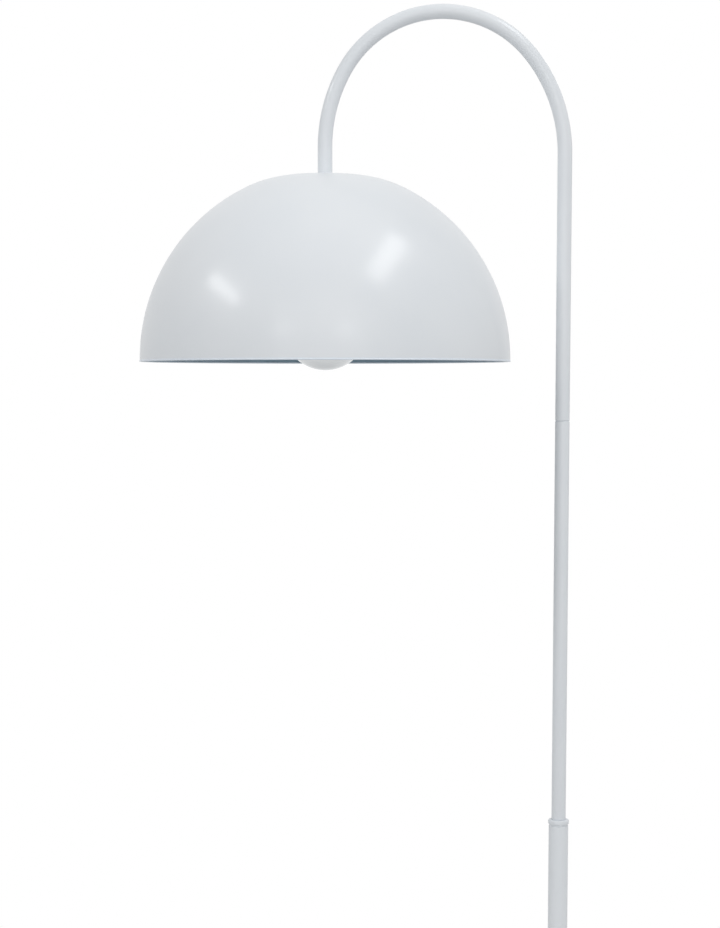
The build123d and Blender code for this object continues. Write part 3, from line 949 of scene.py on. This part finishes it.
class LAMP_OT_pole(bpy.types.Operator):
    """Turns the two straight tubes of the pole and the step collar between them"""

    bl_idname = "lamp.pole"
    bl_label = "Pole"

    def execute(self, context):
        sizes = context.scene.lamp_tubes
        self.tube("lower_pole", "lower_tube", sizes.lower_wall, sizes.edge)
        self.tube("middle_pole", "middle_tube", sizes.upper_wall, sizes.edge)
        self.collar(sizes)
        return {"FINISHED"}

    def tube(self, name, node, wall, edge):
        """Turns one straight tube with rounded ends."""
        low, high = heights_of(node)
        radius = radius_of(node)
        corners = ring_corners(radius - wall, radius, low, high, edge)
        turn_section(name, node, corners, POLE_AXIS)

    def collar(self, sizes):
        """Turns the collar's spigot, groove and bead."""
        low, high = heights_of("reducer_bush")
        step = heights_of("lower_tube")[1]
        radius = radius_of("reducer_bush")
        bore = sizes.stud_radius
        spigot = radius_of("lower_tube") - sizes.lower_wall
        corners = [
            (bore, low, 0),
            (spigot, low, sizes.edge),
            (spigot, step, 0),
            (sizes.collar_neck, step, 0),
            (sizes.collar_neck, step + sizes.collar_groove, 0),
            (radius, step + sizes.collar_groove, sizes.collar_foot),
            (radius, high, sizes.collar_top),
            (bore, high, 0),
        ]
        turn_section("step_collar", "reducer_bush", corners, POLE_AXIS)


class LAMP_OT_base(bpy.types.Operator):
    """Turns the base's cover, its foam pad and the cord's bush"""

    bl_idname = "lamp.base"
    bl_label = "Base"

    def execute(self, context):
        sizes = context.scene.lamp_base
        low, high = heights_of("base_cover")
        radius = radius_of("base_cover")
        under = high - sizes.sheet
        cut_edge = sizes.sheet / 3
        corners = [
            (radius, low, cut_edge),
            (radius, high, sizes.edge),
            (sizes.stud_hole, high, 0),
            (sizes.stud_hole, under, 0),
            (radius - sizes.sheet, under, sizes.edge - sizes.sheet),
            (radius - sizes.sheet, low, cut_edge),
        ]
        cover = turn("base_cap", rounded(corners), POLE_AXIS, LARGE_TURN)
        drill(cover, sizes.inlet_neck, radius / 2, 2 * radius, sizes.inlet_height)
        settle(cover, "base_cover")
        self.pad()
        self.bush(sizes)
        return {"FINISHED"}

    def pad(self):
        """Turns the foam disc that the lamp stands on."""
        low, high = heights_of("base_pad")
        edge = (high - low) / 4
        radius = radius_of("base_pad")
        corners = [(0, low, 0), (radius, low, edge), (radius, high, 0), (0, high, 0)]
        settle(turn("base_foam", rounded(corners), POLE_AXIS, LARGE_TURN), "base_pad")

    def bush(self, sizes):
        """Turns the bush that lines the cord's inlet."""
        low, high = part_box("cord_grommet")
        face = high.x - sizes.inlet_flange
        wall = face - sizes.sheet
        flange = (high.y - low.y) / 2
        inner_flange = (flange + sizes.inlet_neck) / 2
        corners = [
            (sizes.inlet_bore, low.x, sizes.bush_end),
            (inner_flange, low.x, sizes.bush_edge),
            (inner_flange, wall, sizes.bush_crease),
            (sizes.inlet_neck, wall, 0),
            (sizes.inlet_neck, face, 0),
            (flange, face, sizes.bush_crease),
            (flange, high.x, sizes.bush_face),
            (sizes.inlet_bore, high.x, sizes.bush_mouth),
        ]
        foot = Vector((0, 0, sizes.inlet_height))
        settle(turn("cord_bush", rounded(corners), foot, SMALL_TURN, along="X"), "cord_grommet")


class LAMP_OT_studs(bpy.types.Operator):
    """Turns the hollow studs of the pole and the shade, and cuts their threads"""

    bl_idname = "lamp.studs"
    bl_label = "Studs"

    def execute(self, context):
        sizes = context.scene.lamp_tubes
        for node in ("base_stud", "reducer_stud", "seam_stud", "shade_nipple"):
            self.stud(node, sizes)
        return {"FINISHED"}

    def stud(self, node, sizes):
        """Turns one stud and cuts its thread into the outer wall alone."""
        low, high = heights_of(node)
        foot = SHADE_AXIS if node == "shade_nipple" else POLE_AXIS
        radius, pitch = sizes.stud_radius, sizes.stud_pitch
        depth = METRIC_DEPTH * pitch
        root = radius - depth
        wall_low, wall_high = low + pitch / 2, high - pitch / 2
        rows = STUD_ROWS_A_TURN * round((wall_high - wall_low) / pitch)
        wall = [(radius, height) for height in spaced(wall_low, wall_high, rows)]
        bore = sizes.stud_bore
        outline = [(bore, low), (root, low)] + wall + [(root, high), (bore, high)]
        piece = turn(f"threaded_{node}", outline, foot, STUD_TURN)

        def groove(reach, height, angle):
            """Depth of the thread at a point."""
            if reach < radius - 10 * MERGE_DISTANCE:
                return 0.0
            turns = height / pitch - angle / math.tau
            return depth * abs(2 * (turns % 1) - 1)

        press_in(piece, foot, groove)
        settle(piece, node)


class LAMP_OT_lampholder(bpy.types.Operator):
    """Turns the lampholder's halves, its neck pipe and the washer under the crown"""

    bl_idname = "lamp.lampholder"
    bl_label = "Lampholder"

    def execute(self, context):
        sizes = context.scene.lamp_holder
        self.cap(sizes)
        self.sleeve(sizes)
        self.pipe(sizes)
        self.washer()
        return {"FINISHED"}

    def cap(self, sizes):
        """Turns the upper half, with its neck."""
        low, high = heights_of("holder_cap")
        radius = radius_of("holder_cap")
        bore = radius - sizes.wall
        neck_foot = high - sizes.neck_depth
        corners = [
            (bore, low, 0),
            (radius, low, sizes.edge),
            (radius, low + sizes.cap_straight, sizes.cap_rounding),
            (sizes.neck_radius, low + sizes.cap_shoulder, sizes.fillet),
            (sizes.neck_radius, high, sizes.neck_edge),
            (sizes.thread_bore, high, 0),
            (sizes.thread_bore, neck_foot, 0),
            (sizes.neck_radius - sizes.wall / 2, neck_foot, 0),
            (bore, low + sizes.cap_straight - sizes.wall / 2, sizes.cap_rounding - sizes.wall),
        ]
        turn_section("holder_upper", "holder_cap", corners, SHADE_AXIS)

    def sleeve(self, sizes):
        """Turns the lower half, waisted, with a hole for the switch's shaft."""
        low, high = heights_of("holder_body")
        radius = radius_of("holder_body")
        bore = radius - sizes.wall
        ledge = heights_of("switch_block")[0]
        waist = radius - sizes.waist
        lip = low + sizes.lip
        corners = [
            (bore - sizes.ledge, low, sizes.fine_edge),
            (radius, low, sizes.lip_edge),
            (radius, lip, sizes.crease),
            (waist, lip + sizes.waist, sizes.waist_edge),
            (waist, ledge - sizes.waist, sizes.waist_edge),
            (radius, ledge, sizes.crease),
            (radius, high, sizes.edge),
            (bore, high, 0),
            (bore, ledge, 0),
            (bore - sizes.ledge, ledge, 0),
        ]
        piece = turn("holder_sleeve", rounded(corners), SHADE_AXIS, SMALL_TURN)
        knob_low, knob_high = heights_of("switch_knob")
        shaft = (knob_low + knob_high) / 2
        drill(piece, sizes.shaft_hole, SHADE_AXIS.x, SHADE_AXIS.x + 2 * radius, shaft)
        settle(piece, "holder_body")

    def pipe(self, sizes):
        """Turns the pipe between the nut and the lampholder."""
        low, high = heights_of("holder_spacer")
        outside = radius_of("holder_spacer")
        corners = ring_corners(sizes.thread_bore, outside, low, high, sizes.fine_edge)
        turn_section("neck_pipe", "holder_spacer", corners, SHADE_AXIS)

    def washer(self):
        """Turns the broad washer under the crown."""
        low, high = heights_of("shade_washer")
        hole = bpy.context.scene.lamp_shade.nipple_hole
        edge = (high - low) / 4
        corners = ring_corners(hole, radius_of("shade_washer"), low, high, edge)
        turn_section("crown_washer", "shade_washer", corners, SHADE_AXIS)


class LAMP_OT_socket(bpy.types.Operator):
    """Draws the brass screw shell and rolls its thread"""

    bl_idname = "lamp.socket"
    bl_label = "Screw shell"

    def execute(self, context):
        sizes = context.scene.lamp_holder
        thread = context.scene.lamp_bulb
        low, high = heights_of("screw_shell")
        outside = radius_of("screw_shell")
        bore = outside - sizes.shell_wall
        inside_top = high - sizes.shell_wall
        wall = spaced(low, inside_top, SHELL_ROWS)
        outline = [(outside, height) for height in wall] + [(outside, high)]
        outline += [(sizes.shell_hole, high), (sizes.shell_hole, inside_top)]
        outline += [(bore, height) for height in reversed(wall)]
        piece = turn("screw_shell_thread", outline, SHADE_AXIS, SMALL_TURN)
        pitch = thread.thread_pitch
        mouth, shoulder = low + pitch / 2, inside_top - pitch / 2

        def groove(reach, height, angle):
            """Depth of the thread at a point."""
            if not mouth < height < shoulder:
                return 0.0
            fade = min((height - mouth) / pitch, (shoulder - height) / pitch, 1)
            return thread.thread_depth * fade * rolled(height, angle, pitch)

        press_in(piece, SHADE_AXIS, groove)
        settle(piece, "screw_shell")
        return {"FINISHED"}


class LAMP_OT_bulb(bpy.types.Operator):
    """Blows the globe, its stem and its screw cap, and hangs the filaments"""

    bl_idname = "lamp.bulb"
    bl_label = "Bulb"

    def execute(self, context):
        sizes = context.scene.lamp_bulb
        self.globe(sizes)
        self.stem(sizes)
        self.cap(sizes)
        self.insulator(sizes)
        self.tip()
        self.filaments(sizes)
        return {"FINISHED"}

    def globe(self, sizes):
        """Turns the globe, hollowed into its neck, and the collar above it."""
        low, high = heights_of("bulb_glass")
        shoulder = heights_of("bulb_cap")[0]
        radius = radius_of("bulb_glass")
        centre = low + radius
        offset = sizes.neck_radius + sizes.neck_blend
        rise = math.sqrt((radius + sizes.neck_blend) ** 2 - offset**2)
        angle = math.degrees(math.atan2(rise, offset))

        def glass_side(inset):
            """Outline of the glass from its tip to its neck, set in by a distance."""
            ball = arc((0, centre), radius - inset, -90, angle, GLOBE_STEPS)
            hollow_radius = sizes.neck_blend + inset
            hollow = arc((offset, centre + rise), hollow_radius, 180 + angle, 180, NECK_STEPS)
            return ball + hollow[1:]

        collar = sizes.collar_radius
        outline = glass_side(0)
        outline += [
            (sizes.neck_radius, shoulder - sizes.wall / 2),
            (sizes.neck_radius - sizes.wall / 2, shoulder),
            (collar, shoulder),
            (collar, high),
            (collar - sizes.wall, high),
            (collar - sizes.wall, shoulder - sizes.wall),
            (sizes.neck_radius - sizes.wall, shoulder - sizes.wall),
        ]
        outline += glass_side(sizes.wall)[::-1]
        piece = turn("globe_glass", outline, SHADE_AXIS, GLOBE_TURN)
        settle(piece, "bulb_glass")

    def stem(self, sizes):
        """Turns the stem, from its round post to its flare."""
        low, high = heights_of("bulb_stem")
        seat = heights_of("bulb_glass")[1]
        flare = sizes.collar_radius - sizes.stem_clearance
        post = arc((0, low + sizes.stem_post), sizes.stem_post, -90, 0, POST_STEPS)
        taper_end = seat - sizes.stem_taper
        swell = [
            (
                sizes.stem_post + (flare - sizes.stem_post) * share**2,
                taper_end + sizes.stem_taper * share,
            )
            for share in spaced(0, 1, STEM_STEPS)
        ]
        seat_edge = [(sizes.collar_radius, seat), (sizes.collar_radius, high), (0, high)]
        outline = post + swell + seat_edge
        settle(turn("globe_stem", outline, SHADE_AXIS, SMALL_TURN), "bulb_stem")

    def cap(self, sizes):
        """Turns the screw cap and rolls its thread."""
        low, high = heights_of("bulb_cap")
        radius = radius_of("bulb_cap")
        bore = radius - sizes.cap_wall
        cone = high - sizes.cap_cone
        wall = spaced(low, cone, CAP_ROWS)
        outline = [(radius, height) for height in wall]
        outline += [(sizes.cap_top, high), (sizes.cap_top - sizes.cap_wall, high)]
        outline += [(bore, height) for height in reversed(wall)]
        piece = turn("globe_cap", outline, SHADE_AXIS, SMALL_TURN)
        skirt = heights_of("bulb_glass")[1] + sizes.cap_wall
        pitch = sizes.thread_pitch
        run = pitch / 2

        def groove(reach, height, angle):
            """Depth of the thread at a point."""
            if not skirt <= height <= cone:
                return 0.0
            wave = rolled(height, angle, pitch)
            share = min((height - skirt) / run, 1.0)
            rest = max((height - cone) / run + 1.0, 0.0)
            return sizes.thread_depth * share * (wave + (1.0 - wave) * rest)

        press_in(piece, SHADE_AXIS, groove)
        settle(piece, "bulb_cap")

    def insulator(self, sizes):
        """Turns the black button round the contact."""
        low, high = heights_of("bulb_insulator")
        land = radius_of("bulb_contact") + sizes.insulator_land
        slope = (land + sizes.insulator_slope, high - sizes.insulator_drop)
        outline = [(0, low), (sizes.cap_top, low), slope, (land, high), (0, high)]
        settle(turn("cap_insulator", outline, SHADE_AXIS, SMALL_TURN), "bulb_insulator")

    def tip(self):
        """Turns the domed contact in the middle of the cap."""
        low, high = heights_of("bulb_contact")
        radius = radius_of("bulb_contact")
        side = low + (high - low) / 3
        dome = arc((0, 0), 1, 10, 90, TIP_STEPS)
        outline = [(0, low), (radius, low), (radius, side)]
        outline += [(radius * across, side + (high - side) * up) for across, up in dome]
        settle(turn("tip_contact", outline, SHADE_AXIS, TIP_TURN), "bulb_contact")

    def filaments(self, sizes):
        """Turns one filament and copies it round the stem."""
        low, high = heights_of("bulb_filaments")
        foot = SHADE_AXIS + Vector((sizes.filament_circle, 0, 0))
        thin = sizes.filament_radius / 2
        coat_low, coat_high = low + sizes.filament_tab, high - sizes.filament_tab
        end = sizes.filament_radius
        spread = math.degrees(math.acos(thin / end))
        outline = [(0, low), (thin, low), (thin, coat_low)]
        outline += arc((0, coat_low + end), end, -spread, 0, ROUND_STEPS)
        outline += arc((0, coat_high - end), end, 0, spread, ROUND_STEPS)
        outline += [(thin, coat_high), (thin, high), (0, high)]
        piece = turn("filament_set", outline, foot, FILAMENT_TURN)
        for step in range(1, sizes.filaments):
            select_only(piece)
            bpy.ops.object.duplicate()
            angle = math.tau * step / sizes.filaments
            place = Matrix.Translation(SHADE_AXIS) @ Matrix.Rotation(angle, 4, "Z")
            place = place @ Matrix.Translation(-SHADE_AXIS)
            twin = bpy.context.object
            twin.matrix_world = place @ twin.matrix_world
        self.join_copies(piece)
        settle(piece, "bulb_filaments")

    def join_copies(self, piece):
        """Joins a piece's copies into it."""
        select_only(piece)
        for copy in bpy.data.objects:
            if copy.name.startswith(piece.name + "."):
                copy.select_set(True)
        bpy.ops.object.join()


class LAMP_OT_carried_over(bpy.types.Operator):
    """Gives each solid that no new piece stands for the finish of its slot"""

    bl_idname = "lamp.carried_over"
    bl_label = "Solids kept as they are"

    def execute(self, context):
        for node, solid in frame["nodes"].items():
            if solid.hide_render:
                continue
            for slot in solid.material_slots:
                slot.material = finish_of(node)
        return {"FINISHED"}


SOFTBOXES = (
    # name, direction from the shade, long axis, length and width in metres, brightness
    ("right_strip", (0.5075, -0.294, 0.810), (0.141, 0.969, 0.202), (1.56, 0.42), 4.9),
    ("left_strip", (-0.796, -0.258, 0.548), (0.178, -0.964, -0.196), (1.16, 0.24), 7.0),
    ("front_left", (-0.383, -0.878, 0.286), (0.919, -0.393, 0.025), (0.26, 0.20), 3.9),
    ("front_right", (0.227, -0.927, 0.299), (0.833, 0.344, 0.434), (0.32, 0.20), 3.8),
    ("front_fill", (-0.02, -0.98, 0.19), (1.0, -0.02, 0.0), (2.5, 2.1), 0.514),
    ("low_right", (0.40, -0.91, 0.05), (1.0, 0.44, 0.0), (1.8, 1.4), 0.234),
)


class LAMP_OT_stage(bpy.types.Operator):
    """Sets the studio: floor, world, softboxes and camera"""

    bl_idname = "lamp.stage"
    bl_label = "Studio"

    def execute(self, context):
        settings = context.scene.lamp_stage
        self.floor(context, settings)
        self.world(context, settings)
        for softbox in SOFTBOXES:
            self.softbox(context, settings, *softbox)
        self.camera(context, settings)
        context.scene.view_settings.view_transform = "Standard"
        return {"FINISHED"}

    def seen_directly(self, tree):
        """1 on rays that should meet the white background, 0 on rays that light the lamp."""
        seen = [
            tree.node("ShaderNodeLightPath", output=ray)
            for ray in ("Is Camera Ray", "Is Glossy Ray", "Is Transmission Ray")
        ]
        return seen[0] | seen[1] | seen[2]

    def floor(self, context, settings):
        """Lays a pale floor that fades to white and is clear from below."""
        bpy.ops.object.select_all(action="DESELECT")
        bpy.ops.mesh.primitive_circle_add(
            vertices=LARGE_TURN,
            radius=settings.floor_radius,
            fill_type="NGON",
            location=(0, 0, CAD_LOW.z - FLOOR_GAP),
        )
        floor = context.object
        floor.name = "studio_floor"
        tree = new_finish("studio_floor")
        reach = tree.node(
            "ShaderNodeVectorMath", {"operation": "LENGTH"}, {0: tree.place()}, output="Value"
        )
        edge = settings.floor_radius
        fade = tree.ramp(reach, FLOOR_FADE_START * edge, FLOOR_FADE_END * edge)
        colours = context.scene.lamp_colours
        grain = tree.noise(30.0, 3.0)
        cover = tree.node(
            "ShaderNodeBsdfPrincipled",
            None,
            {
                "Base Color": tree.mix(grain, scaled(colours.floor, 0.98), colours.floor),
                "Roughness": 0.7,
                "Specular IOR Level": 0.2,
            },
        )
        white = tree.node("ShaderNodeEmission", None, {"Color": WHITE, "Strength": 1.0})
        share = fade * self.seen_directly(tree)
        shown = tree.node("ShaderNodeMixShader", None, {0: share, 1: cover, 2: white})
        underside = tree.node("ShaderNodeNewGeometry", output="Backfacing")
        clear = tree.node("ShaderNodeBsdfTransparent")
        shown = tree.node("ShaderNodeMixShader", None, {0: underside, 1: shown, 2: clear})
        tree.node("ShaderNodeOutputMaterial", None, {"Surface": shown})
        floor.data.materials.append(tree.owner)

    def world(self, context, settings):
        """Lights the room, brighter above, and shows it white."""
        world = bpy.data.worlds.new("studio")
        context.scene.world = world
        tree = Finish(world)
        toward = tree.node("ShaderNodeTexCoord", output="Generated")
        height, side = [
            tree.node("ShaderNodeSeparateXYZ", None, {0: toward}, output=axis)
            for axis in ("Z", "X")
        ]
        upper = tree.ramp(height + ROOM_LEAN * side, -ROOM_BLEND, ROOM_BLEND)
        low_light, high_light, white = [
            tree.node("ShaderNodeBackground", None, {"Color": WHITE, "Strength": strength})
            for strength in (settings.ground_share * settings.ambient, settings.ambient, 1.0)
        ]
        light = tree.node("ShaderNodeMixShader", None, {0: upper, 1: low_light, 2: high_light})
        seen = self.seen_directly(tree)
        shown = tree.node("ShaderNodeMixShader", None, {0: seen, 1: light, 2: white})
        tree.node("ShaderNodeOutputWorld", None, {"Surface": shown})

    def softbox(self, context, settings, name, direction, long_axis, size, brightness):
        """Hangs one softbox, turned to the rim of the shade."""
        away = Vector(direction).normalized()
        across = Vector(long_axis)
        across = (across - across.dot(away) * away).normalized()
        light = bpy.data.lights.new(name, "AREA")
        light.shape = "RECTANGLE"
        light.size, light.size_y = size
        light.energy = WATTS_A_SQUARE_METRE * brightness * size[0] * size[1]
        lamp = bpy.data.objects.new(name, light)
        context.scene.collection.objects.link(lamp)
        target = Vector((SHADE_AXIS.x, 0, SHADE_LOW.z))
        turn_to = Matrix((across, away.cross(across), away)).transposed().to_4x4()
        lamp.matrix_world = Matrix.Translation(target + away * settings.light_distance) @ turn_to
        lamp.visible_camera = False

    def camera(self, context, settings):
        """Sets the camera where the photograph was taken."""
        data = bpy.data.cameras.new("photo_camera")
        data.lens = settings.lens
        data.shift_y = settings.shift
        camera = bpy.data.objects.new("photo_camera", data)
        context.scene.collection.objects.link(camera)
        camera.location = settings.camera_place
        camera.rotation_euler = (math.pi / 2 - settings.camera_pitch, 0, 0)
        context.scene.camera = camera


PIECE_OPERATORS = (
    LAMP_OT_shade,
    LAMP_OT_arch,
    LAMP_OT_pole,
    LAMP_OT_base,
    LAMP_OT_studs,
    LAMP_OT_lampholder,
    LAMP_OT_socket,
    LAMP_OT_bulb,
    LAMP_OT_carried_over,
    LAMP_OT_stage,
)


# The scene's property that holds each group of settings
SETTINGS = {
    "lamp_shade": ShadeSizes,
    "lamp_tubes": TubeSizes,
    "lamp_base": BaseSizes,
    "lamp_holder": HolderSizes,
    "lamp_bulb": BulbSizes,
    "lamp_colours": FinishColours,
    "lamp_stage": StageSettings,
}


class LAMP_PT_build(bpy.types.Panel):
    """Lists the lamp's pieces in the order in which they are made"""

    bl_idname = "LAMP_PT_build"
    bl_label = "Arched floor lamp"
    bl_space_type = "VIEW_3D"
    bl_region_type = "UI"
    bl_category = "Lamp"

    def draw(self, context):
        for operator in PIECE_OPERATORS:
            self.layout.operator(operator.bl_idname)
        for group, settings in SETTINGS.items():
            box = self.layout.box()
            box.label(text=settings.__doc__)
            for name in settings.__annotations__:
                box.prop(getattr(context.scene, group), name)


def register():
    """Registers the settings, the operators and the panel."""
    for group, settings in SETTINGS.items():
        bpy.utils.register_class(settings)
        setattr(bpy.types.Scene, group, PointerProperty(type=settings))
    for operator in PIECE_OPERATORS:
        bpy.utils.register_class(operator)
    bpy.utils.register_class(LAMP_PT_build)


def unregister():
    """Takes away all that register added."""
    bpy.utils.unregister_class(LAMP_PT_build)
    for operator in reversed(PIECE_OPERATORS):
        bpy.utils.unregister_class(operator)
    for group, settings in SETTINGS.items():
        delattr(bpy.types.Scene, group)
        bpy.utils.unregister_class(settings)


def main():
    """Builds the lamp piece by piece and sets the studio."""
    register()
    bpy.ops.lamp.shade()
    bpy.ops.lamp.arch()
    bpy.ops.lamp.pole()
    bpy.ops.lamp.base()
    bpy.ops.lamp.studs()
    bpy.ops.lamp.lampholder()
    bpy.ops.lamp.socket()
    bpy.ops.lamp.bulb()
    bpy.ops.lamp.carried_over()
    bpy.ops.lamp.stage()


if __name__ == "__main__":
    main()
